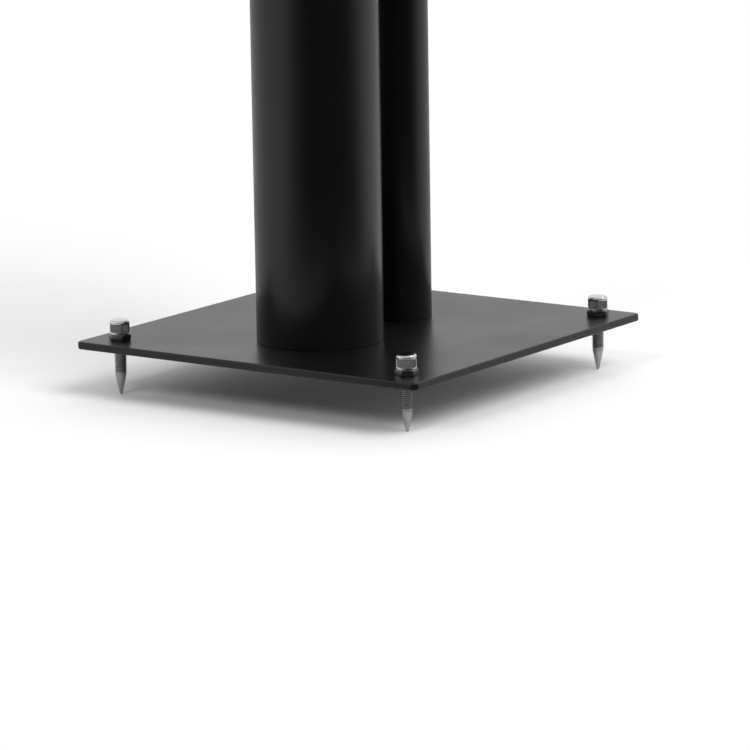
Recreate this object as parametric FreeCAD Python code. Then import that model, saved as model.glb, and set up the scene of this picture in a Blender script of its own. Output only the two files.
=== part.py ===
import FreeCAD, Part
import math
import os

from FreeCAD import Vector

# Two-column speaker stand on four adjustable spikes.
# Millimetres, +Z up, front at -Y. The origin is on the floor under the middle of the base plate.

# whole stand, floor to the top plate's upper face
stand_height = 600.0

# base plate
plate_width = 265.0
plate_depth = 265.0
plate_thickness = 5.0
plate_corner_radius = 4.0
plate_edge_chamfer = 0.9

# top plate
top_width = 190.0
top_depth = 220.0
top_thickness = 5.0
top_corner_radius = 6.0
top_edge_chamfer = 0.9

# columns: two round tubes, one behind the other
front_diameter = 82.0
front_wall = 2.0
front_y = -46.0
rear_diameter = 42.4
rear_wall = 2.0
rear_y = 45.0

# tapped discs welded inside the ends of the tubes
disc_thickness = 8.0

# spikes: turned studs with a long cone, a round grip head and a thin lock nut
spike_inset = 20.5
spike_thread = 8.0
spike_below_plate = 31.0
spike_cone_length = 14.8
spike_tip_diameter = 1.9
head_diameter = 13.0
head_height = 9.0
head_top_radius = 0.9
head_seat_depth = 5.0
nut_flats = 13.0
nut_height = 4.0
nut_bevel_angle = 30.0
thread_clearance = 0.1

# how far each lock nut happens to be turned, in degrees from the front
nut_turn = {"front_left": 50.0, "front_right": 9.0, "rear_right": 17.0, "rear_left": 33.0}

# broad flat-headed screws that hold the columns between the plates
screw_thread = 8.0
screw_length = 16.0
screw_head_diameter = 17.0
screw_head_height = 2.6
screw_socket_flats = 5.0
screw_socket_depth = 3.4
screw_hole_clearance = 0.3

# rubber pads on the top plate
pad_diameter = 22.0
pad_height = 4.0
pad_inset = 20.0

# cable grommets in the back of the rear column
grommet_bore = 9.0
grommet_hole = 13.0
grommet_flange = 18.0
grommet_outer_lip = 1.6
grommet_inner_lip = 1.4
lower_grommet_rise = 45.0
upper_grommet_drop = 45.0

# levels and places that follow
plate_bottom = spike_below_plate
plate_top = plate_bottom + plate_thickness
top_top = stand_height
top_bottom = top_top - top_thickness
spike_x = plate_width / 2 - spike_inset
spike_y = plate_depth / 2 - spike_inset
corners = {
    "front_left": (-spike_x, -spike_y),
    "front_right": (spike_x, -spike_y),
    "rear_right": (spike_x, spike_y),
    "rear_left": (-spike_x, spike_y),
}
columns = (front_y, rear_y)
front_bore_diameter = front_diameter - 2 * front_wall
rear_bore_diameter = rear_diameter - 2 * rear_wall
up = Vector(0, 0, 1)


def line(x1, z1, x2, z2):
    """Straight edge between two points of a profile in the XZ plane."""
    return Part.LineSegment(Vector(x1, 0, z1), Vector(x2, 0, z2)).toShape()


def turned(*points):
    """Solid turned about the Z axis from the closed outline through these points."""
    edges = [line(*start, *end) for start, end in zip(points, points[1:] + points[:1])]
    return Part.Face(Part.Wire(edges)).revolve(Vector(0, 0, 0), up, 360)


def cylinder(x, y, low, high, diameter):
    return Part.makeCylinder(diameter / 2, high - low, Vector(x, y, low))


def hexagon_outline(flats, level, turn):
    """Level hexagon about the Z axis, a corner at the given turn from the front."""
    radius = flats / math.sqrt(3)
    points = []
    for step in range(7):
        angle = math.radians(turn + 60 * step)
        points.append(Vector(radius * math.sin(angle), -radius * math.cos(angle), level))
    return Part.makePolygon(points)


def hexagon(flats, low, high, turn=0.0):
    """Upright hexagonal prism about the Z axis."""
    return Part.Face(hexagon_outline(flats, low, turn)).extrude(Vector(0, 0, high - low))


def moved(shape, x, y, z=0.0):
    copy = shape.copy()
    copy.translate(Vector(x, y, z))
    return copy


def rounded_plate(width, depth, low, thickness, corner_radius, edge_chamfer):
    """Flat plate with rounded corners in plan and softened top and bottom edges."""
    plate = Part.makeBox(width, depth, thickness, Vector(-width / 2, -depth / 2, low))
    upright = [edge for edge in plate.Edges if edge.BoundBox.ZLength > thickness / 2]
    plate = plate.makeFillet(corner_radius, upright)
    rims = [edge for edge in plate.Edges if edge.BoundBox.ZLength < thickness / 2]
    return plate.makeChamfer(edge_chamfer, rims)


def screw_holes(low, high):
    """Clearance holes through a plate for the screws of both columns."""
    diameter = screw_thread + 2 * screw_hole_clearance
    return [cylinder(0, y, low, high, diameter) for y in columns]


def base_plate():
    plate = rounded_plate(
        plate_width, plate_depth, plate_bottom, plate_thickness,
        plate_corner_radius, plate_edge_chamfer,
    )
    holes = screw_holes(plate_bottom, plate_top)
    for x, y in corners.values():
        holes.append(cylinder(x, y, plate_bottom, plate_top, spike_thread + 2 * thread_clearance))
    return plate.cut(holes)


def top_plate():
    plate = rounded_plate(
        top_width, top_depth, top_bottom, top_thickness, top_corner_radius, top_edge_chamfer,
    )
    return plate.cut(screw_holes(top_bottom, top_top))


def tube(y, diameter, bore):
    outside = cylinder(0, y, plate_top, top_bottom, diameter)
    return outside.cut(cylinder(0, y, plate_top, top_bottom, bore))


def front_column():
    return tube(front_y, front_diameter, front_bore_diameter)


def grommet_levels():
    """Heights of the two cable holes in the rear column."""
    return plate_top + lower_grommet_rise, top_bottom - upper_grommet_drop


def rear_column():
    column = tube(rear_y, rear_diameter, rear_bore_diameter)
    holes = []
    for level in grommet_levels():
        start = Vector(0, rear_y, level)
        holes.append(Part.makeCylinder(grommet_hole / 2, rear_diameter, start, Vector(0, 1, 0)))
    return column.cut(holes)


def discs(y, diameter):
    """Two discs that close the ends of a tube, each tapped in the middle."""
    pair = []
    for low in (plate_top, top_bottom - disc_thickness):
        high = low + disc_thickness
        disc = cylinder(0, y, low, high, diameter)
        pair.append(disc.cut(cylinder(0, y, low, high, screw_thread + 2 * thread_clearance)))
    return Part.makeCompound(pair)


def front_column_discs():
    return discs(front_y, front_bore_diameter)


def rear_column_discs():
    return discs(rear_y, rear_bore_diameter)


def flat_screw():
    """Screw standing on its broad flat head: the head's seat is at z = 0, the shank goes up."""
    head = screw_head_diameter / 2
    shank = screw_thread / 2
    body = turned(
        (0, -screw_head_height), (head, -screw_head_height), (head, 0),
        (shank, 0), (shank, screw_length), (0, screw_length),
    )
    socket = hexagon(screw_socket_flats, -screw_head_height, screw_socket_depth - screw_head_height)
    return body.cut(socket)


def column_screws():
    """Screws up through the base plate and down through the top plate."""
    rising = flat_screw()
    hanging = flat_screw()
    hanging.rotate(Vector(0, 0, 0), Vector(1, 0, 0), 180)
    screws = [moved(rising, 0, y, plate_bottom) for y in columns]
    screws += [moved(hanging, 0, y, top_top) for y in columns]
    return Part.makeCompound(screws)


def speaker_pads():
    x = top_width / 2 - pad_inset
    y = top_depth / 2 - pad_inset
    places = [(-x, -y), (x, -y), (x, y), (-x, y)]
    high = top_top + pad_height
    return Part.makeCompound([cylinder(px, py, top_top, high, pad_diameter) for px, py in places])


def grommet(level):
    """Rubber grommet: two lips that hug the curved wall, joined by a collar through the hole."""
    flange = grommet_flange / 2
    bore = grommet_bore / 2
    sag = rear_diameter / 2 - math.sqrt((rear_diameter / 2) ** 2 - flange ** 2)
    outer = rear_diameter / 2 + grommet_outer_lip
    inner = rear_bore_diameter / 2 - sag - grommet_inner_lip
    body = turned((bore, inner), (flange, inner), (flange, outer), (bore, outer))
    body.rotate(Vector(0, 0, 0), Vector(1, 0, 0), -90)
    return moved(body, 0, rear_y, level).cut(rear_column())


def cable_grommets():
    return Part.makeCompound([grommet(level) for level in grommet_levels()])


def spike():
    """Stud with its tip on the floor; its upper end is screwed into the grip head."""
    radius = spike_thread / 2
    top = plate_top + nut_height + head_seat_depth
    return turned(
        (0, 0), (spike_tip_diameter / 2, 0), (radius, spike_cone_length), (radius, top), (0, top),
    )


def spike_head():
    """Round head on the lock nut, its top edge rounded in two flats, with the stud's seat below."""
    radius = head_diameter / 2
    low = plate_top + nut_height
    high = low + head_height
    shoulder = head_top_radius * (1 - math.sqrt(0.5))
    body = turned(
        (0, low), (radius, low), (radius, high - head_top_radius),
        (radius - shoulder, high - shoulder), (radius - head_top_radius, high), (0, high),
    )
    return body.cut(cylinder(0, 0, low, low + head_seat_depth, spike_thread + 2 * thread_clearance))


def lock_nut(turn):
    """Thin hexagon nut on the plate, its corners bevelled above and below."""
    low = plate_top
    high = low + nut_height
    across_corners = 2 * nut_flats / math.sqrt(3)
    bevel = (across_corners - nut_flats) / 2 * math.tan(math.radians(nut_bevel_angle))
    corner_cutter = Part.makeLoft([
        hexagon_outline(nut_flats, low, turn + 30),
        hexagon_outline(across_corners, low + bevel, turn + 30),
        hexagon_outline(across_corners, high - bevel, turn + 30),
        hexagon_outline(nut_flats, high, turn + 30),
    ], True, True)
    bore = cylinder(0, 0, low, high, spike_thread + 2 * thread_clearance)
    return hexagon(nut_flats, low, high, turn).common(corner_cutter).cut(bore)


def build():
    """Every piece of the stand by name."""
    pieces = {
        "base_plate": base_plate(),
        "top_plate": top_plate(),
        "front_column": front_column(),
        "front_column_discs": front_column_discs(),
        "rear_column": rear_column(),
        "rear_column_discs": rear_column_discs(),
        "column_screws": column_screws(),
        "speaker_pads": speaker_pads(),
        "cable_grommets": cable_grommets(),
    }
    for corner, (x, y) in corners.items():
        pieces["spike_" + corner] = moved(spike(), x, y)
        pieces["spike_head_" + corner] = moved(spike_head(), x, y)
        pieces["lock_nut_" + corner] = moved(lock_nut(nut_turn[corner]), x, y)
    return pieces


os.makedirs("parts", exist_ok=True)
for name, shape in build().items():
    shape.exportStep("parts/" + name + ".step")
    print(name, len(shape.Solids), "solid(s)", round(shape.Volume, 1), "mm3", shape.isValid())
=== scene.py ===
import math

import bpy
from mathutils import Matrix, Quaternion, Vector


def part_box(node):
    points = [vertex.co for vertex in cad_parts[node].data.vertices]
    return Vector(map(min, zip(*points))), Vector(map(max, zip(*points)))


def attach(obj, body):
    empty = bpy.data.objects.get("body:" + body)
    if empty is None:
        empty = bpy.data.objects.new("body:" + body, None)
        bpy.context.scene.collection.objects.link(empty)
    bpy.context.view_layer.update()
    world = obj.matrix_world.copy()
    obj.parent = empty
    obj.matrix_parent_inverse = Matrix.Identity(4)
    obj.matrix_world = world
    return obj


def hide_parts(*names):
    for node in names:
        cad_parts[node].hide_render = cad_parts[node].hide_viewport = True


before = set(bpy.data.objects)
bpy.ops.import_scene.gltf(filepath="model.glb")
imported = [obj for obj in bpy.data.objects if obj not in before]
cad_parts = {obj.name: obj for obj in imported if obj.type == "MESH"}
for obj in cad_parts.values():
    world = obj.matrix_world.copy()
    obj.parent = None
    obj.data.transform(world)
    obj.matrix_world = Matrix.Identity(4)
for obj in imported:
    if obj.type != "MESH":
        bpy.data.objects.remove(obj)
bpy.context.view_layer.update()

# sizes are in millimetres unless a note says otherwise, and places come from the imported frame
mm = 0.001
fullTurn = 2 * math.pi
mergeDistance = 1e-6           # metres between points that become one
slack = 0.1 * mm               # how near a point lies that counts as on a level or a radius
spare = 1.0                    # how far a cutting tool reaches past the piece it cuts
holeSides = 64
corners = {
    "FrontLeft": "front_left",
    "FrontRight": "front_right",
    "RearRight": "rear_right",
    "RearLeft": "rear_left",
}

# sizes that several kinds of piece use
sharedValues = {
    "threadDiameter": 8.0,
    "threadHole": 8.2,         # in the base plate, the heads and the lock nuts
    "screwHole": 8.6,          # in both plates
    "tubeWall": 2.0,
    "cableHole": 13.0,
    "grommetFlange": 18.0,
}


def middleOf(node):
    low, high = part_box(node)
    return (low + high) / 2


# small helpers for modelling

def deselectAll():
    bpy.ops.object.select_all(action="DESELECT")


def activate(piece):
    deselectAll()
    piece.select_set(True)
    bpy.context.view_layer.objects.active = piece


def newest(name):
    piece = bpy.context.active_object
    piece.name = name
    piece.data.name = name
    return piece


def pick(piece, kind, test):
    # leaves the piece in edit mode with only the tested vertices, edges or faces selected
    activate(piece)
    bpy.ops.object.mode_set(mode="EDIT")
    bpy.ops.mesh.select_mode(type=kind)
    bpy.ops.mesh.select_all(action="DESELECT")
    bpy.ops.object.mode_set(mode="OBJECT")
    mesh = piece.data
    items = {"VERT": mesh.vertices, "EDGE": mesh.edges, "FACE": mesh.polygons}[kind]
    for item in items:
        item.select = test(item)
    bpy.ops.object.mode_set(mode="EDIT")


def edgeEnds(piece, edge):
    return [piece.data.vertices[index].co for index in edge.vertices]


def closeMesh(piece):
    # merges seams and poles and turns every face outwards
    activate(piece)
    bpy.ops.object.mode_set(mode="EDIT")
    bpy.ops.mesh.select_all(action="SELECT")
    bpy.ops.mesh.remove_doubles(threshold=mergeDistance)
    bpy.ops.mesh.normals_make_consistent(inside=False)
    bpy.ops.object.mode_set(mode="OBJECT")


def settle(piece):
    # puts the place, turn and size into the mesh
    activate(piece)
    bpy.ops.object.transform_apply(location=True, rotation=True, scale=True)


def useModifier(piece, kind, **settings):
    activate(piece)
    bpy.ops.object.modifier_add(type=kind)
    modifier = piece.modifiers[-1]
    for key, value in settings.items():
        setattr(modifier, key, value)
    bpy.ops.object.modifier_apply(modifier=modifier.name)


def cutWith(piece, tool, operation="DIFFERENCE"):
    useModifier(piece, "BOOLEAN", object=tool, operation=operation, solver="EXACT")
    bpy.data.objects.remove(tool)


def smoothTo(piece, degrees):
    # faces that meet at less than this angle shade as one surface
    activate(piece)
    bpy.ops.object.shade_smooth_by_angle(angle=math.radians(degrees))


def copyOf(piece, name, move):
    activate(piece)
    bpy.ops.object.duplicate(linked=False)
    copied = newest(name)
    copied.location = move
    settle(copied)
    return copied


def markGrooves(piece, outer, inner, low, high):
    # stores how deep each point between two heights lies, from 0 at the outer radius to 1 at the inner
    depths = piece.data.attributes.new("groove", "FLOAT", "POINT")
    for vertex, depth in zip(piece.data.vertices, depths.data):
        radius = math.hypot(vertex.co.x, vertex.co.y) / mm
        if low <= vertex.co.z / mm <= high:
            depth.value = min(1, max(0, (outer - radius) / (outer - inner)))


def roundedCorner(x, z, radius, start, stop, segments):
    # points of an arc about (x, z), angles in degrees from the +x side
    points = []
    for step in range(segments + 1):
        angle = math.radians(start + (stop - start) * step / segments)
        points.append((x + radius * math.cos(angle), z + radius * math.sin(angle)))
    return points


def drawOutline(name, outline):
    # one point is extruded along an outline of (radius, height) in the plane of the X and Z axes
    deselectAll()
    bpy.ops.mesh.primitive_plane_add(size=mm, location=(0, 0, 0))
    piece = newest(name)
    bpy.ops.object.mode_set(mode="EDIT")
    bpy.ops.mesh.select_mode(type="VERT")
    bpy.ops.mesh.select_all(action="SELECT")
    bpy.ops.mesh.merge(type="CENTER")
    here = Vector((outline[0][0], 0, outline[0][1]))
    bpy.ops.transform.translate(value=here * mm)
    for radius, height in outline[1:]:
        there = Vector((radius, 0, height))
        bpy.ops.mesh.extrude_region_move(TRANSFORM_OT_translate={"value": (there - here) * mm})
        here = there
    bpy.ops.object.mode_set(mode="OBJECT")
    return piece


def turnOutline(name, outline, steps, closed=False):
    # an outline spun once about the upright axis
    piece = drawOutline(name, outline + (outline[:1] if closed else []))
    bpy.ops.object.mode_set(mode="EDIT")
    bpy.ops.mesh.select_all(action="SELECT")
    bpy.ops.mesh.spin(steps=steps, angle=fullTurn, center=(0, 0, 0), axis=(0, 0, 1))
    bpy.ops.object.mode_set(mode="OBJECT")
    closeMesh(piece)
    return piece


def addHexagon(flats, low, high, turn=0.0):
    # upright hexagonal prism on the axis, one corner at the given turn from the front
    deselectAll()
    bpy.ops.mesh.primitive_cylinder_add(
        vertices=6, radius=flats / math.sqrt(3) * mm, depth=(high - low) * mm,
        location=(0, 0, (low + high) / 2 * mm), rotation=(0, 0, math.radians(turn)),
    )
    hexagon = newest("hexagon")
    settle(hexagon)
    return hexagon


def addPeg(diameter, length, middle, lying=False):
    # round bar for cutting a hole, upright or lying along Y; its length and middle are in metres
    deselectAll()
    bpy.ops.mesh.primitive_cylinder_add(
        vertices=holeSides, radius=diameter / 2 * mm, depth=length,
        location=middle, rotation=(math.pi / 2 if lying else 0, 0, 0),
    )
    peg = newest("peg")
    settle(peg)
    return peg


# materials, one for each real finish

noiseSpan = {"From Min": 0.3, "From Max": 0.7}     # where most values of a noise texture lie
wavePeriod = 0.314                                 # width of one band of a wave texture at scale 1

# a Mix node has its sockets for colours and for plain numbers in these places
colourA, colourB, colourOut = 6, 7, 2
numberA, numberB, numberOut = 2, 3, 0


def toLinear(colour):
    channels = [int(colour[place:place + 2], 16) / 255 for place in (1, 3, 5)]
    linear = [c / 12.92 if c <= 0.04045 else ((c + 0.055) / 1.055) ** 2.4 for c in channels]
    return (*linear, 1.0)


def addNode(tree, kind, settings, links):
    # a setting is a property of the node or the value of one of its sockets
    node = tree.nodes.new(kind)
    for key, value in settings.items():
        if isinstance(key, str) and hasattr(node, key):
            setattr(node, key, value)
        else:
            node.inputs[key].default_value = value
    for key, (source, output) in links.items():
        tree.links.new(source.outputs[output], node.inputs[key])
    return node


def fadeBetween(start, end):
    # settings that map the start to 0 and the end to 1, with a smooth rise between them
    return {"interpolation_type": "SMOOTHSTEP", "From Min": start, "From Max": end}


def startMaterial(name):
    material = bpy.data.materials.new(name)
    material.use_nodes = True
    tree = material.node_tree
    return material, tree, tree.nodes["Principled BSDF"]


def satinPowderCoat():
    # black polyester powder baked on steel: a thick skin with a soft sheen and a faint orange peel
    values = {
        "colour": "#070708",
        "dustColour": "#0c0c0c",
        "roughness": (0.27, 0.33),
        "peelWave": 2.2,           # from crest to crest
        "peelHeight": 0.004,
        "grainWave": 0.35,
        "grainHeight": 0.0007,
        "cloudWave": 60.0,         # patches of more and less sheen
    }
    material, tree, shader = startMaterial("satinPowderCoat")
    place = addNode(tree, "ShaderNodeTexCoord", {}, {})
    peel = addNode(
        tree, "ShaderNodeTexNoise",
        {"Scale": 1 / (values["peelWave"] * mm), "Detail": 2.0, "Roughness": 0.4},
        {"Vector": (place, "Object")},
    )
    grain = addNode(
        tree, "ShaderNodeTexNoise",
        {"Scale": 1 / (values["grainWave"] * mm), "Detail": 1.0, "Roughness": 0.5},
        {"Vector": (place, "Object")},
    )
    clouds = addNode(
        tree, "ShaderNodeTexNoise",
        {"Scale": 1 / (values["cloudWave"] * mm), "Detail": 4.0, "Roughness": 0.55},
        {"Vector": (place, "Object")},
    )
    grainBump = addNode(
        tree, "ShaderNodeBump", {"Strength": 1.0, "Distance": values["grainHeight"] * mm},
        {"Height": (grain, "Fac")},
    )
    peelBump = addNode(
        tree, "ShaderNodeBump", {"Strength": 1.0, "Distance": values["peelHeight"] * mm},
        {"Height": (peel, "Fac"), "Normal": (grainBump, "Normal")},
    )
    sheen = addNode(
        tree, "ShaderNodeMapRange",
        {**noiseSpan, "To Min": values["roughness"][0], "To Max": values["roughness"][1]},
        {"Value": (clouds, "Fac")},
    )
    tone = addNode(
        tree, "ShaderNodeMix",
        {"data_type": "RGBA",
         colourA: toLinear(values["colour"]), colourB: toLinear(values["dustColour"])},
        {"Factor": (clouds, "Fac")},
    )
    tree.links.new(tone.outputs[colourOut], shader.inputs["Base Color"])
    tree.links.new(sheen.outputs["Result"], shader.inputs["Roughness"])
    tree.links.new(peelBump.outputs["Normal"], shader.inputs["Normal"])
    shader.inputs["IOR"].default_value = 1.5
    return material


def nickelPlate(name, finish):
    # nickel on turned steel: a pale mirror with fine tool marks round its axis, and painted shade in the
    # grooves
    values = {
        "shadeReach": (0.3, 0.85),    # shares of a groove's depth between which painted shade darkens it
        "stainWave": 3.0,
        "markPitch": 0.16,             # between tool marks, drawn coarser than real ones
    }
    material, tree, shader = startMaterial(name)
    place = addNode(tree, "ShaderNodeTexCoord", {}, {})
    marks = addNode(
        tree, "ShaderNodeTexWave",
        {"wave_type": "BANDS", "bands_direction": "Z", "Scale": wavePeriod / (values["markPitch"] * mm),
         "Distortion": 0.6, "Detail": 2.0, "Detail Scale": 2.0},
        {"Vector": (place, "Object")},
    )
    stains = addNode(
        tree, "ShaderNodeTexNoise",
        {"Scale": 1 / (values["stainWave"] * mm), "Detail": 3.0, "Roughness": 0.6},
        {"Vector": (place, "Object")},
    )
    bump = addNode(
        tree, "ShaderNodeBump", {"Strength": 1.0, "Distance": finish["markHeight"] * mm},
        {"Height": (marks, "Fac")},
    )
    polish = addNode(
        tree, "ShaderNodeMapRange",
        {**noiseSpan, "To Min": finish["roughness"][0], "To Max": finish["roughness"][1]},
        {"Value": (stains, "Fac")},
    )
    tone = addNode(
        tree, "ShaderNodeMix",
        {"data_type": "RGBA",
         colourA: toLinear(finish["colour"]), colourB: toLinear(finish["stainColour"])},
        {"Factor": (stains, "Fac")},
    )
    # painted shade: the colour darkens towards the bottom of a thread or knurl groove
    depth = addNode(tree, "ShaderNodeAttribute", {"attribute_name": "groove"}, {})
    paintedGrooveShade = addNode(
        tree, "ShaderNodeMapRange", fadeBetween(*values["shadeReach"]), {"Value": (depth, "Fac")},
    )
    shadedTone = addNode(
        tree, "ShaderNodeMix", {"data_type": "RGBA", colourB: toLinear(finish["shadeColour"])},
        {"Factor": (paintedGrooveShade, "Result"), colourA: (tone, colourOut)},
    )
    tree.links.new(shadedTone.outputs[colourOut], shader.inputs["Base Color"])
    tree.links.new(polish.outputs["Result"], shader.inputs["Roughness"])
    tree.links.new(bump.outputs["Normal"], shader.inputs["Normal"])
    shader.inputs["Metallic"].default_value = 1.0
    return material


def blackOxide():
    # oil-blackened steel: a thin dark skin that still shines like metal on its edges
    values = {
        "colour": "#1c1c1e",
        "wornColour": "#2b2a29",
        "roughness": (0.32, 0.45),
        "blotchWave": 1.6,
    }
    material, tree, shader = startMaterial("blackOxide")
    place = addNode(tree, "ShaderNodeTexCoord", {}, {})
    blotches = addNode(
        tree, "ShaderNodeTexNoise",
        {"Scale": 1 / (values["blotchWave"] * mm), "Detail": 4.0, "Roughness": 0.6},
        {"Vector": (place, "Object")},
    )
    polish = addNode(
        tree, "ShaderNodeMapRange",
        {**noiseSpan, "To Min": values["roughness"][0], "To Max": values["roughness"][1]},
        {"Value": (blotches, "Fac")},
    )
    tone = addNode(
        tree, "ShaderNodeMix",
        {"data_type": "RGBA",
         colourA: toLinear(values["colour"]), colourB: toLinear(values["wornColour"])},
        {"Factor": (blotches, "Fac")},
    )
    tree.links.new(tone.outputs[colourOut], shader.inputs["Base Color"])
    tree.links.new(polish.outputs["Result"], shader.inputs["Roughness"])
    shader.inputs["Metallic"].default_value = 1.0
    return material


def bareSteel():
    # cold-drawn bar, parted off and left bare: grey metal with rings from the cutter
    values = {
        "colour": "#8f8d8a",
        "ringColour": "#6f6d6a",
        "ringPitch": 0.5,
        "roughness": 0.38,
    }
    material, tree, shader = startMaterial("bareSteel")
    place = addNode(tree, "ShaderNodeTexCoord", {}, {})
    rings = addNode(
        tree, "ShaderNodeTexWave",
        {"wave_type": "RINGS", "rings_direction": "Z", "Scale": wavePeriod / (values["ringPitch"] * mm),
         "Distortion": 1.0, "Detail": 2.0},
        {"Vector": (place, "Object")},
    )
    tone = addNode(
        tree, "ShaderNodeMix",
        {"data_type": "RGBA",
         colourA: toLinear(values["colour"]), colourB: toLinear(values["ringColour"])},
        {"Factor": (rings, "Fac")},
    )
    tree.links.new(tone.outputs[colourOut], shader.inputs["Base Color"])
    shader.inputs["Roughness"].default_value = values["roughness"]
    shader.inputs["Metallic"].default_value = 1.0
    return material


def mouldedRubber():
    # compression-moulded nitrile rubber: dull black with a fine pebbled skin
    values = {
        "colour": "#121212",
        "bloomColour": "#1d1d1c",
        "bloomWave": 9.0,
        "pebbleWave": 0.5,
        "pebbleHeight": 0.02,
        "roughness": 0.62,
    }
    material, tree, shader = startMaterial("mouldedRubber")
    place = addNode(tree, "ShaderNodeTexCoord", {}, {})
    pebbles = addNode(
        tree, "ShaderNodeTexVoronoi", {"Scale": 1 / (values["pebbleWave"] * mm)},
        {"Vector": (place, "Object")},
    )
    bloom = addNode(
        tree, "ShaderNodeTexNoise",
        {"Scale": 1 / (values["bloomWave"] * mm), "Detail": 4.0, "Roughness": 0.6},
        {"Vector": (place, "Object")},
    )
    bump = addNode(
        tree, "ShaderNodeBump", {"Strength": 0.6, "Distance": values["pebbleHeight"] * mm},
        {"Height": (pebbles, "Distance")},
    )
    tone = addNode(
        tree, "ShaderNodeMix",
        {"data_type": "RGBA",
         colourA: toLinear(values["colour"]), colourB: toLinear(values["bloomColour"])},
        {"Factor": (bloom, "Fac")},
    )
    tree.links.new(tone.outputs[colourOut], shader.inputs["Base Color"])
    tree.links.new(bump.outputs["Normal"], shader.inputs["Normal"])
    shader.inputs["Roughness"].default_value = values["roughness"]
    return material


nickelFinishes = {
    "brightNickel": {              # heads: polished before plating
        "colour": "#efeeed",
        "stainColour": "#dddcdb",
        "shadeColour": "#3a3a3a",
        "roughness": (0.12, 0.18),
        "markHeight": 0.0006,
    },
    "turnedNickel": {              # spikes: plated as they come from the lathe
        "colour": "#d3d2d1",
        "stainColour": "#b3b2b1",
        "shadeColour": "#808080",
        "roughness": (0.26, 0.36),
        "markHeight": 0.002,
    },
    "dullNickel": {                # lock nuts: a thin coat that has gone grey
        "colour": "#8a8988",
        "stainColour": "#737271",
        "shadeColour": "#606060",
        "roughness": (0.22, 0.32),
        "markHeight": 0.0006,
    },
}

powderCoat = satinPowderCoat()
nickel = {name: nickelPlate(name, finish) for name, finish in nickelFinishes.items()}
oxide = blackOxide()
steel = bareSteel()
rubber = mouldedRubber()
print("materials made")


def finishPiece(piece, body, nodes, material):
    piece.data.materials.clear()
    piece.data.materials.append(material)
    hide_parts(*nodes)
    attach(piece, body)


# base plate and top plate

basePlateValues = {
    "cornerRadius": 4.0,
    "cornerSegments": 16,
    "edgeRadius": 1.2,
    "edgeSegments": 7,
    "smoothAngle": 35,
}
topPlateValues = {
    "cornerRadius": 6.0,
    "cornerSegments": 16,
    "edgeRadius": 1.2,
    "edgeSegments": 7,
    "smoothAngle": 35,
}


def modelPlate(name, node, values, holes):
    low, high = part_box(node)
    size = high - low
    deselectAll()
    bpy.ops.mesh.primitive_cube_add(size=1, location=(low + high) / 2, scale=size)
    plate = newest(name)
    settle(plate)
    corner = values["cornerRadius"] * mm
    rounding = values["edgeRadius"] * mm

    def upright(edge):
        first, last = edgeEnds(plate, edge)
        return abs(first.z - last.z) > size.z / 2

    pick(plate, "EDGE", upright)
    bpy.ops.mesh.bevel(offset=corner, segments=values["cornerSegments"], affect="EDGES")
    bpy.ops.object.mode_set(mode="OBJECT")
    pick(plate, "EDGE", lambda edge: not upright(edge))
    bpy.ops.mesh.bevel(offset=rounding, segments=values["edgeSegments"], affect="EDGES")
    bpy.ops.object.mode_set(mode="OBJECT")
    for spot, diameter in holes:
        middle = Vector((spot.x, spot.y, (low.z + high.z) / 2))
        cutWith(plate, addPeg(diameter, 3 * size.z, middle))
    smoothTo(plate, values["smoothAngle"])
    useModifier(plate, "WEIGHTED_NORMAL", keep_sharp=True)
    return plate


spikeHoles = [(middleOf("spike_" + node), sharedValues["threadHole"]) for node in corners.values()]
screwHoles = [
    (middleOf(node), sharedValues["screwHole"]) for node in ("front_column", "rear_column")
]
basePlate = modelPlate("basePlate", "base_plate", basePlateValues, spikeHoles + screwHoles)
finishPiece(basePlate, "stand", ["base_plate"], powderCoat)
topPlate = modelPlate("topPlate", "top_plate", topPlateValues, screwHoles)
finishPiece(topPlate, "stand", ["top_plate"], powderCoat)
print("plates made")

# columns

frontColumnValues = {"sides": 192, "rimRadius": 0.35, "rimSegments": 3, "smoothAngle": 30}
rearColumnValues = {"sides": 144, "rimRadius": 0.35, "rimSegments": 3, "smoothAngle": 30}


def modelColumn(name, node, values, holeLevels):
    low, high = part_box(node)
    middle = (low + high) / 2
    radius = (high.x - low.x) / 2
    deselectAll()
    bpy.ops.mesh.primitive_cylinder_add(
        vertices=values["sides"], radius=radius, depth=high.z - low.z,
        end_fill_type="NOTHING", location=middle,
    )
    column = newest(name)
    settle(column)
    useModifier(
        column, "SOLIDIFY", thickness=sharedValues["tubeWall"] * mm, offset=-1.0, use_even_offset=True,
    )

    def rim(edge):
        first, last = edgeEnds(column, edge)
        level = abs(first.z - last.z) < slack
        outside = math.hypot(first.x - middle.x, first.y - middle.y) > radius - slack
        return level and outside

    pick(column, "EDGE", rim)
    bpy.ops.mesh.bevel(
        offset=values["rimRadius"] * mm, segments=values["rimSegments"], affect="EDGES",
    )
    bpy.ops.object.mode_set(mode="OBJECT")
    for level in holeLevels:
        # through the back of the tube
        back = Vector((middle.x, middle.y + radius, level))
        cutWith(column, addPeg(sharedValues["cableHole"], 2 * radius, back, lying=True))
    smoothTo(column, values["smoothAngle"])
    return column


lowGrommet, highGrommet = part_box("cable_grommets")
flangeRadius = sharedValues["grommetFlange"] / 2 * mm
grommetLevels = [lowGrommet.z + flangeRadius, highGrommet.z - flangeRadius]
frontColumn = modelColumn("frontColumn", "front_column", frontColumnValues, [])
finishPiece(frontColumn, "stand", ["front_column"], powderCoat)
rearColumn = modelColumn("rearColumn", "rear_column", rearColumnValues, grommetLevels)
finishPiece(rearColumn, "stand", ["rear_column"], powderCoat)
print("columns made")

# threads: a groove of ISO proportions wound round the shank and cut out of it

threadValues = {
    "pitch": 1.25,
    "rootFlat": 0.25,          # share of the pitch
    "depth": 0.5413,           # share of the pitch
    "flankAngle": 30.0,
    "reach": 0.08,             # how far the cutter stands out of the shank
    "steps": 40,               # in one turn
}


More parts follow.
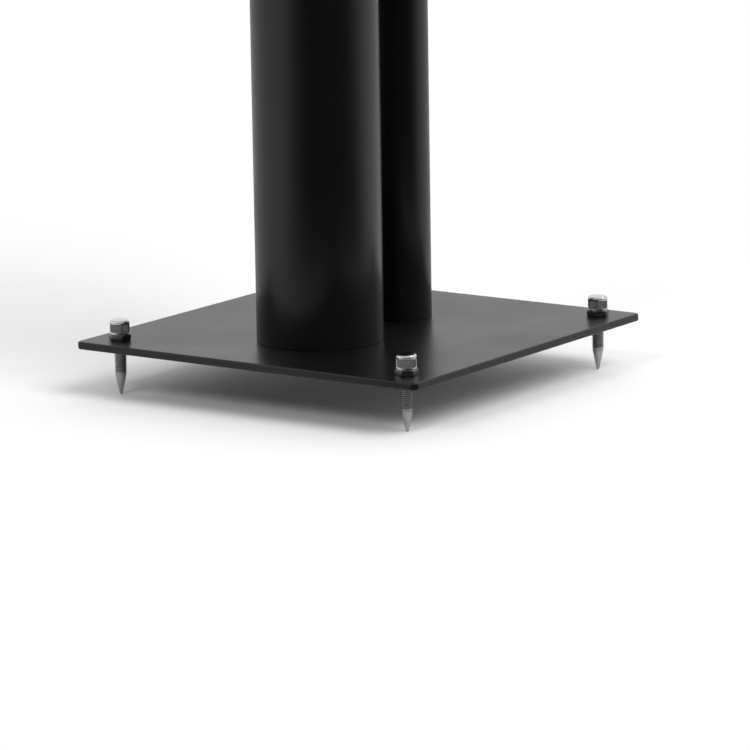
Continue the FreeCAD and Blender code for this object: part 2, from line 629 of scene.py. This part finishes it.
def cutThread(piece, low, high):
    values = threadValues
    pitch = values["pitch"]
    shank = sharedValues["threadDiameter"] / 2
    outer = shank + values["reach"]
    inner = shank - values["depth"] * pitch
    rootHalf = values["rootFlat"] * pitch / 2
    mouthHalf = rootHalf + (outer - inner) * math.tan(math.radians(values["flankAngle"]))
    section = [
        (inner, low - rootHalf), (outer, low - mouthHalf),
        (outer, low + mouthHalf), (inner, low + rootHalf),
    ]
    groove = drawOutline("groove", section + section[:1])
    closeMesh(groove)
    useModifier(
        groove, "SCREW", axis="Z", angle=fullTurn, screw_offset=pitch * mm,
        iterations=math.ceil((high - low) / pitch), steps=values["steps"],
        render_steps=values["steps"], use_merge_vertices=True, merge_threshold=mergeDistance,
    )
    pick(groove, "FACE", lambda face: True)
    bpy.ops.mesh.fill_holes(sides=0)
    bpy.ops.object.mode_set(mode="OBJECT")
    closeMesh(groove)
    cutWith(piece, groove)


# spikes

spikeValues = {
    "coneLength": 14.8,
    "tipDiameter": 1.9,
    "tipRadius": 0.35,
    "tipStop": -12.0,          # degrees at which the tip's arc runs into the cone
    "tipSegments": 5,
    "endChamfer": 0.6,
    "threadRunOut": 4.0,       # how far below the shank the groove starts, to fade out in the cone
    "steps": 96,
    "smoothAngle": 24,
}


def modelSpike():
    values = spikeValues
    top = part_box("spike_front_left")[1].z / mm
    radius = sharedValues["threadDiameter"] / 2
    cone = values["coneLength"]
    chamfer = values["endChamfer"]
    rounding = values["tipRadius"]
    outline = [(0, 0)]
    outline += roundedCorner(
        values["tipDiameter"] / 2 - rounding, rounding, rounding,
        -90, values["tipStop"], values["tipSegments"],
    )
    outline += [(radius, cone), (radius, top - chamfer), (radius - chamfer, top), (0, top)]
    spike = turnOutline("spike", outline, values["steps"])
    cutThread(spike, cone - values["threadRunOut"], top + threadValues["pitch"])
    closeMesh(spike)
    root = radius - threadValues["depth"] * threadValues["pitch"]
    markGrooves(spike, radius, root, cone, top)
    smoothTo(spike, values["smoothAngle"])
    return spike


masterSpike = modelSpike()
print("spike made,", len(masterSpike.data.polygons), "faces")

# knurled heads

headValues = {
    "diameter": 13.0,
    "topRadius": 1.4,
    "topSegments": 10,
    "footChamfer": 0.2,
    "knurlColumns": 56,        # 28 diamonds round, drawn coarser than a real knurl so that they show
    "knurlRows": 7,
    "knurlDepth": 0.36,
    "knurlMargin": 0.1,
    "seatDepth": 5.0,
    "seatSides": 48,
    "smoothAngle": 20,
}


def modelHead():
    values = headValues
    boxLow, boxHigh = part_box("spike_head_front_left")
    low, high = boxLow.z / mm, boxHigh.z / mm
    radius = values["diameter"] / 2
    top = values["topRadius"]
    foot = values["footChamfer"]
    rows = values["knurlRows"]
    wallLow = low + foot + values["knurlMargin"]
    wallHigh = high - top - values["knurlMargin"]
    rowHeight = (wallHigh - wallLow) / rows
    columnAngle = fullTurn / values["knurlColumns"]
    outline = [(0, low), (radius - foot, low), (radius, low + foot)]
    outline += [(radius, wallLow + rowHeight * row) for row in range(rows + 1)]
    outline += roundedCorner(radius - top, high - top, top, 0, 90, values["topSegments"])
    outline.append((0, high))
    head = turnOutline("head", outline, values["knurlColumns"])

    def groove(vertex):
        # every other point inside the wall, in the pattern of a chess board
        spot = vertex.co / mm
        if abs(math.hypot(spot.x, spot.y) - radius) > slack / mm:
            return False
        row = round((spot.z - wallLow) / rowHeight)
        column = round(math.atan2(spot.y, spot.x) / columnAngle)
        return 0 < row < rows and (row + column) % 2 == 1

    # those points are joined across their squares and sunk, which leaves crossing grooves
    pick(head, "VERT", groove)
    bpy.ops.mesh.vert_connect()
    bpy.ops.object.mode_set(mode="OBJECT")
    pick(head, "VERT", groove)
    sunk = (radius - values["knurlDepth"]) / radius
    bpy.ops.transform.resize(value=(sunk, sunk, 1), center_override=(0, 0, 0))
    bpy.ops.object.mode_set(mode="OBJECT")
    seat = sharedValues["threadHole"] / 2
    seatTop = low + values["seatDepth"]
    bore = [(0, low - spare), (seat, low - spare), (seat, seatTop), (0, seatTop)]
    cutWith(head, turnOutline("bore", bore, values["seatSides"]))
    closeMesh(head)
    markGrooves(head, radius, radius - values["knurlDepth"], low, wallHigh)
    smoothTo(head, values["smoothAngle"])
    return head


masterHead = modelHead()
print("head made,", len(masterHead.data.polygons), "faces")

# lock nuts

nutTurns = {"FrontLeft": 50.0, "FrontRight": 9.0, "RearRight": 17.0, "RearLeft": 33.0}
nutValues = {
    "flats": 13.0,
    "faceInset": 0.1,          # how far inside the flats the round top face ends
    "barrelReach": 0.02,       # how far the rounding tool stands clear of the corners
    "barrelSides": 96,
    "chamferAngle": 30.0,
    "boreChamfer": 0.5,
    "edgeWidth": 0.12,
    "edgeSegments": 2,
    "edgeAngle": 40,           # edges sharper than this are broken
    "smoothAngle": 22,
}


def modelNut(name, turn):
    values = nutValues
    boxLow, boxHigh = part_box("lock_nut_front_left")
    low, high = boxLow.z / mm, boxHigh.z / mm
    corner = values["flats"] / math.sqrt(3)
    face = values["flats"] / 2 - values["faceInset"]
    drop = (corner - face) * math.tan(math.radians(values["chamferAngle"]))
    nut = addHexagon(values["flats"], low, high, turn)
    nut.name = name
    nut.data.name = name
    side = corner + values["barrelReach"]
    barrel = [(0, low), (face, low), (side, low + drop), (side, high - drop), (face, high), (0, high)]
    cutWith(nut, turnOutline("barrel", barrel, values["barrelSides"]), "INTERSECT")
    bore = sharedValues["threadHole"] / 2
    chamfer = values["boreChamfer"]
    mouth = bore + chamfer
    hole = [
        (0, low - spare), (mouth + spare, low - spare), (mouth, low), (bore, low + chamfer),
        (bore, high - chamfer), (mouth, high), (mouth + spare, high + spare), (0, high + spare),
    ]
    cutWith(nut, turnOutline("hole", hole, holeSides))
    closeMesh(nut)
    useModifier(
        nut, "BEVEL", width=values["edgeWidth"] * mm, segments=values["edgeSegments"],
        limit_method="ANGLE", angle_limit=math.radians(values["edgeAngle"]), use_clamp_overlap=True,
    )
    closeMesh(nut)
    smoothTo(nut, values["smoothAngle"])
    return nut


for corner, node in corners.items():
    spot = middleOf("spike_" + node)
    move = Vector((spot.x, spot.y, 0))
    spike = copyOf(masterSpike, "spike" + corner, move)
    finishPiece(
        spike, "spike_" + node, ["spike_" + node], nickel["turnedNickel"],
    )
    head = copyOf(masterHead, "spikeHead" + corner, move)
    finishPiece(
        head, "head_" + node, ["spike_head_" + node], nickel["brightNickel"],
    )
    nut = modelNut("lockNut" + corner, nutTurns[corner])
    nut.location = move
    settle(nut)
    finishPiece(
        nut, "nut_" + node, ["lock_nut_" + node], nickel["dullNickel"],
    )
bpy.data.objects.remove(masterSpike)
bpy.data.objects.remove(masterHead)
print("spikes, heads and lock nuts in place")

# flat-headed screws of the columns

screwValues = {
    "length": 16.0,
    "headDiameter": 17.0,
    "headHeight": 2.6,
    "rimRadius": 0.6,
    "rimSegments": 5,
    "seatChamfer": 0.25,
    "socketFlats": 5.0,
    "socketDepth": 3.4,
    "socketChamfer": 0.35,
    "leadSides": 48,
    "plainLength": 1.4,        # below the head, where the thread runs out
    "endChamfer": 0.8,
    "steps": 96,
    "smoothAngle": 28,
}


def modelScrew():
    # it stands on its head: the head's seat is at height 0
    values = screwValues
    head = values["headDiameter"] / 2
    shank = sharedValues["threadDiameter"] / 2
    thick = values["headHeight"]
    rim = values["rimRadius"]
    seat = values["seatChamfer"]
    length = values["length"]
    end = values["endChamfer"]
    outline = [(0, -thick)]
    outline += roundedCorner(head - rim, rim - thick, rim, -90, 0, values["rimSegments"])
    outline += [
        (head, -seat), (head - seat, 0), (shank, 0),
        (shank, length - end), (shank - end, length), (0, length),
    ]
    screw = turnOutline("screw", outline, values["steps"])
    cutThread(screw, values["plainLength"], length + threadValues["pitch"])
    flats = values["socketFlats"]
    cutWith(screw, addHexagon(flats, -thick - spare, values["socketDepth"] - thick))
    mouth = flats / math.sqrt(3) + values["socketChamfer"]
    lead = [
        (0, mouth - thick), (mouth, -thick), (mouth + spare, -thick - spare), (0, -thick - spare),
    ]
    cutWith(screw, turnOutline("lead", lead, values["leadSides"]))
    closeMesh(screw)
    smoothTo(screw, values["smoothAngle"])
    return screw


masterScrew = modelScrew()
print("screw made,", len(masterScrew.data.polygons), "faces")
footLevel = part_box("base_plate")[0].z
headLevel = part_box("top_plate")[1].z
for label, node in (("front", "front_column"), ("rear", "rear_column")):
    spot = middleOf(node)
    footScrew = copyOf(masterScrew, label + "FootScrew", Vector((spot.x, spot.y, footLevel)))
    finishPiece(footScrew, "stand", ["column_screws"], oxide)
    headScrew = copyOf(masterScrew, label + "HeadScrew", Vector((0, 0, 0)))
    headScrew.rotation_euler = (math.pi, 0, 0)
    headScrew.location = (spot.x, spot.y, headLevel)
    settle(headScrew)
    finishPiece(headScrew, "stand", ["column_screws"], oxide)
bpy.data.objects.remove(masterScrew)
print("column screws in place")

# rubber pads under the loudspeaker

padValues = {
    "diameter": 22.0,
    "edgeRadius": 1.1,
    "edgeSegments": 6,
    "footRadius": 0.25,
    "dish": 0.2,
    "dishDiameter": 15.0,
    "dishSlope": 0.8,          # width of the ring over which the dish goes down
    "steps": 96,
    "smoothAngle": 30,
}


def modelPad(height):
    values = padValues
    radius = values["diameter"] / 2
    edge = values["edgeRadius"]
    foot = values["footRadius"]
    dish = values["dishDiameter"] / 2
    floor = height - values["dish"]
    outline = [(0, 0), (radius - foot, 0), (radius, foot)]
    outline += roundedCorner(radius - edge, height - edge, edge, 0, 90, values["edgeSegments"])
    outline += [(dish, height), (dish - values["dishSlope"], floor), (0, floor)]
    pad = turnOutline("pad", outline, values["steps"])
    smoothTo(pad, values["smoothAngle"])
    return pad


padLow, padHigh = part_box("speaker_pads")
padRadius = padValues["diameter"] / 2 * mm
masterPad = modelPad((padHigh.z - padLow.z) / mm)
for corner in corners:
    x = padHigh.x - padRadius if "Right" in corner else padLow.x + padRadius
    y = padHigh.y - padRadius if "Rear" in corner else padLow.y + padRadius
    pad = copyOf(masterPad, "speakerPad" + corner, Vector((x, y, padLow.z)))
    finishPiece(pad, "stand", ["speaker_pads"], rubber)
bpy.data.objects.remove(masterPad)
print("speaker pads in place")

# cable grommets in the back of the rear column

grommetValues = {
    "bore": 9.0,
    "outerLip": 1.6,
    "innerLip": 1.4,
    "lipRadius": 0.7,
    "mouthRadius": 0.6,        # rounding of the bore's outer end
    "arcSegments": 5,
    "steps": 72,
    "wallHeight": 40.0,        # of the piece of tube that is taken out of the rubber
    "smoothAngle": 35,
}


def modelGrommet(name, level):
    values = grommetValues
    columnLow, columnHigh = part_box("rear_column")
    centre = (columnLow + columnHigh) / 2
    outside = (columnHigh.x - columnLow.x) / 2 / mm
    inside = outside - sharedValues["tubeWall"]
    flange = sharedValues["grommetFlange"] / 2
    bore = values["bore"] / 2
    lip = values["lipRadius"]
    mouth = values["mouthRadius"]
    segments = values["arcSegments"]
    sag = outside - math.sqrt(outside ** 2 - flange ** 2)
    outer = outside + values["outerLip"]
    inner = inside - sag - values["innerLip"]
    outline = [(bore, inner), (flange, inner)]
    outline += roundedCorner(flange - lip, outer - lip, lip, 0, 90, segments)
    outline += roundedCorner(bore + mouth, outer - mouth, mouth, 90, 180, segments)
    grommet = turnOutline(name, outline, values["steps"], closed=True)
    grommet.rotation_euler = (-math.pi / 2, 0, 0)
    grommet.location = (centre.x, centre.y, level)
    settle(grommet)
    # the tube's wall, with its hole, is taken out of the rubber so that both lips hug it
    length = values["wallHeight"] * mm
    deselectAll()
    bpy.ops.mesh.primitive_cylinder_add(
        vertices=rearColumnValues["sides"], radius=outside * mm, depth=length,
        end_fill_type="NOTHING", location=(centre.x, centre.y, level),
    )
    wall = newest("wall")
    settle(wall)
    useModifier(wall, "SOLIDIFY", thickness=sharedValues["tubeWall"] * mm, offset=-1.0)
    back = Vector((centre.x, centre.y + length / 2, level))
    cutWith(wall, addPeg(sharedValues["cableHole"], length, back, lying=True))
    cutWith(grommet, wall)
    closeMesh(grommet)
    smoothTo(grommet, values["smoothAngle"])
    return grommet


for label, level in zip(("lowerGrommet", "upperGrommet"), grommetLevels):
    grommet = modelGrommet(label, level)
    finishPiece(grommet, "stand", ["cable_grommets"], rubber)
print("grommets in place")

# the welded discs keep the frame's own meshes

for node in ("front_column_discs", "rear_column_discs"):
    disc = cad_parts[node]
    disc.data.materials.clear()
    disc.data.materials.append(steel)
print("discs finished")

# camera at the photographed angle

cameraValues = {
    "azimuth": 34.744,         # degrees to the right of the front
    "elevation": 11.652,
    "roll": -0.908,
    "distance": 2914.9,
    "target": (95.72, -122.85, 36.0),
    "lens": 225.64,
    "sensor": 36.0,
    "clip": (0.1, 100.0),      # metres
}


def placeCamera():
    values = cameraValues
    azimuth = math.radians(values["azimuth"])
    elevation = math.radians(values["elevation"])
    back = Vector((
        math.sin(azimuth) * math.cos(elevation),
        -math.cos(azimuth) * math.cos(elevation),
        math.sin(elevation),
    ))
    deselectAll()
    bpy.ops.object.camera_add()
    camera = bpy.context.active_object
    camera.location = Vector(values["target"]) * mm + back * values["distance"] * mm
    turn = (-back).to_track_quat("-Z", "Y") @ Quaternion((0, 0, 1), math.radians(values["roll"]))
    camera.rotation_euler = turn.to_euler()
    camera.data.lens = values["lens"]
    camera.data.sensor_width = values["sensor"]
    camera.data.clip_start, camera.data.clip_end = values["clip"]
    bpy.context.scene.camera = camera


placeCamera()
print("camera placed")

# floor, light and background

studioValues = {
    "floorSize": 30.0,                 # metres
    "floorDrop": 0.2,                  # mm below the tips of the spikes
    "floorSeen": "#ffffff",
    "floorBounce": "#d9d9d9",
    "floorMirrored": "#d0d0d0",
    "darkMirrored": "#121212",
    "darkTurn": 18.0,                  # the dark side of the room, degrees right of the camera
    "darkEdges": (0.1, 0.85),          # cosines between which reflections darken
    "darkFloor": (0.2, 0.3),           # metres from the stand between which the floor's painted reflection turns dark
    "darkHeights": (0.15, 0.5),        # sines of the heights between which the dark side ends
    "paperFade": (0.5, 0.9),           # metres between which the lit floor gives way to plain white
    "domeHorizon": 1.2,
    "domeTop": 0.26,
    "domeTurn": 146.0,                 # the dome is brightest behind and to the right of the stand
    "domeSwing": 0.99,
    "mirrorHorizon": 0.8,
    "mirrorTop": 0.65,
    "mirrorHeights": (0.2, 0.6),       # sines of the heights between which reflections dim
    "mirrorDark": 0.02,
    "whiteStrength": 1.0,              # of the background that the camera sees
}

lampValues = {
    # round soft boxes: degrees right of the camera, above the floor and from middle to rim
    "rightBox": {"turn": 45.6, "rise": 48.8, "halfAngle": 18.4, "brightness": 5.1, "mirrored": False},
    "leftBox": {"turn": -33.9, "rise": 37.2, "halfAngle": 9.9, "brightness": 7.4, "mirrored": False},
    "gleamBox": {"turn": 95.0, "rise": 52.0, "halfAngle": 11.0, "brightness": 4.0, "mirrored": True},
}
lampDistance = 8.0                     # metres, so that the floor is lit evenly


def levelDirection(turn):
    # level direction at so many degrees right of the camera
    angle = math.radians(cameraValues["azimuth"] + turn)
    return Vector((math.sin(angle), -math.cos(angle), 0))


def darkSide(tree, direction, output):
    # 1 towards the dark side of the room, 0 towards the bright walls
    facing = addNode(
        tree, "ShaderNodeVectorMath",
        {"operation": "DOT_PRODUCT", 1: levelDirection(studioValues["darkTurn"])},
        {0: (direction, output)},
    )
    return addNode(
        tree, "ShaderNodeMapRange", fadeBetween(*studioValues["darkEdges"]),
        {"Value": (facing, "Value")},
    )


def makeFloor():
    # dull white paper that catches the soft shadow, and that shiny parts mirror with a painted dark side
    values = studioValues
    deselectAll()
    bpy.ops.mesh.primitive_plane_add(size=values["floorSize"], location=(0, 0, -values["floorDrop"] * mm))
    floor = newest("floor")
    settle(floor)
    material, tree, shader = startMaterial("studioPaper")
    path = addNode(tree, "ShaderNodeLightPath", {}, {})
    place = addNode(tree, "ShaderNodeTexCoord", {}, {})
    length = addNode(
        tree, "ShaderNodeVectorMath", {"operation": "LENGTH"}, {0: (place, "Object")},
    )
    outwards = addNode(
        tree, "ShaderNodeVectorMath", {"operation": "NORMALIZE"}, {0: (place, "Object")},
    )
    dark = darkSide(tree, outwards, "Vector")
    away = addNode(
        tree, "ShaderNodeMapRange", fadeBetween(*values["darkFloor"]), {"Value": (length, "Value")},
    )
    darkness = addNode(
        tree, "ShaderNodeMath", {"operation": "MULTIPLY"}, {0: (dark, "Result"), 1: (away, "Result")},
    )
    # painted reflection: to glossy rays the floor is dark towards the dark side and away from the stand
    mirrored = addNode(
        tree, "ShaderNodeMix",
        {"data_type": "RGBA",
         colourA: toLinear(values["floorMirrored"]), colourB: toLinear(values["darkMirrored"])},
        {"Factor": (darkness, "Value")},
    )
    unseen = addNode(
        tree, "ShaderNodeMix", {"data_type": "RGBA", colourA: toLinear(values["floorBounce"])},
        {"Factor": (path, "Is Glossy Ray"), colourB: (mirrored, colourOut)},
    )
    tone = addNode(
        tree, "ShaderNodeMix", {"data_type": "RGBA", colourB: toLinear(values["floorSeen"])},
        {"Factor": (path, "Is Camera Ray"), colourA: (unseen, colourOut)},
    )
    tree.links.new(tone.outputs[colourOut], shader.inputs["Base Color"])
    shader.inputs["Roughness"].default_value = 1.0
    shader.inputs["Specular IOR Level"].default_value = 0.0
    # past the shadow the floor seen by the camera is plain white
    far = addNode(
        tree, "ShaderNodeMapRange", fadeBetween(*values["paperFade"]), {"Value": (length, "Value")},
    )
    plain = addNode(
        tree, "ShaderNodeMath", {"operation": "MULTIPLY"},
        {0: (far, "Result"), 1: (path, "Is Camera Ray")},
    )
    white = addNode(
        tree, "ShaderNodeEmission",
        {"Color": toLinear(values["floorSeen"]), "Strength": values["whiteStrength"]}, {},
    )
    surface = addNode(
        tree, "ShaderNodeMixShader", {},
        {0: (plain, "Value"), 1: (shader, "BSDF"), 2: (white, "Emission")},
    )
    tree.links.new(surface.outputs["Shader"], tree.nodes["Material Output"].inputs["Surface"])
    floor.data.materials.append(material)


def makeWorld():
    # the camera sees white, dull surfaces get a dome, and shiny ones mirror a room with a dark side
    values = studioValues
    world = bpy.data.worlds.new("studio")
    bpy.context.scene.world = world
    world.use_nodes = True
    tree = world.node_tree
    tree.nodes.clear()
    path = addNode(tree, "ShaderNodeLightPath", {}, {})
    place = addNode(tree, "ShaderNodeTexCoord", {}, {})
    height = addNode(tree, "ShaderNodeSeparateXYZ", {}, {"Vector": (place, "Generated")})
    upwards = addNode(
        tree, "ShaderNodeMapRange",
        {"From Min": 0.0, "From Max": 1.0,
         "To Min": values["domeHorizon"], "To Max": values["domeTop"]},
        {"Value": (height, "Z")},
    )
    towards = addNode(
        tree, "ShaderNodeVectorMath",
        {"operation": "DOT_PRODUCT", 1: levelDirection(values["domeTurn"])},
        {0: (place, "Generated")},
    )
    around = addNode(
        tree, "ShaderNodeMapRange",
        {"From Min": -1.0, "From Max": 1.0,
         "To Min": 1 - values["domeSwing"], "To Max": 1 + values["domeSwing"]},
        {"Value": (towards, "Value")},
    )
    dome = addNode(
        tree, "ShaderNodeMath", {"operation": "MULTIPLY"},
        {0: (upwards, "Result"), 1: (around, "Result")},
    )
    bright = addNode(
        tree, "ShaderNodeMapRange",
        {"From Min": values["mirrorHeights"][0], "From Max": values["mirrorHeights"][1],
         "To Min": values["mirrorHorizon"], "To Max": values["mirrorTop"]},
        {"Value": (height, "Z")},
    )
    dark = darkSide(tree, place, "Generated")
    darkLow, darkHigh = values["darkHeights"]
    lowDown = addNode(
        tree, "ShaderNodeMapRange", fadeBetween(darkHigh, darkLow), {"Value": (height, "Z")},
    )
    darkness = addNode(
        tree, "ShaderNodeMath", {"operation": "MULTIPLY"},
        {0: (dark, "Result"), 1: (lowDown, "Result")},
    )
    mirror = addNode(
        tree, "ShaderNodeMix", {"data_type": "FLOAT", numberB: values["mirrorDark"]},
        {"Factor": (darkness, "Value"), numberA: (bright, "Result")},
    )
    unseen = addNode(
        tree, "ShaderNodeMix", {"data_type": "FLOAT"},
        {"Factor": (path, "Is Glossy Ray"), numberA: (dome, "Value"), numberB: (mirror, numberOut)},
    )
    level = addNode(
        tree, "ShaderNodeMix", {"data_type": "FLOAT", numberB: values["whiteStrength"]},
        {"Factor": (path, "Is Camera Ray"), numberA: (unseen, numberOut)},
    )
    sky = addNode(
        tree, "ShaderNodeBackground", {"Color": (1, 1, 1, 1)}, {"Strength": (level, numberOut)},
    )
    addNode(tree, "ShaderNodeOutputWorld", {}, {"Surface": (sky, "Background")})


def addLamp(name, values):
    rise = math.radians(values["rise"])
    aside = levelDirection(values["turn"]) * math.cos(rise)
    place = (aside + Vector((0, 0, math.sin(rise)))) * lampDistance
    radius = lampDistance * math.tan(math.radians(values["halfAngle"]))
    deselectAll()
    bpy.ops.object.light_add(type="AREA", location=place)
    lamp = bpy.context.active_object
    lamp.name = name
    lamp.rotation_euler = (-place).to_track_quat("-Z", "Y").to_euler()
    lamp.data.shape = "DISK"
    lamp.data.size = 2 * radius
    # the power that gives a disc of this size its brightness
    lamp.data.energy = values["brightness"] * math.pi * math.pi * radius ** 2
    # the gleam shows only in shiny things, and the others light only what is dull
    lamp.visible_glossy = values["mirrored"]
    lamp.visible_diffuse = not values["mirrored"]


makeFloor()
makeWorld()
for lampName, lamp in lampValues.items():
    addLamp(lampName, lamp)
bpy.context.scene.view_settings.view_transform = "Standard"
print("studio made")
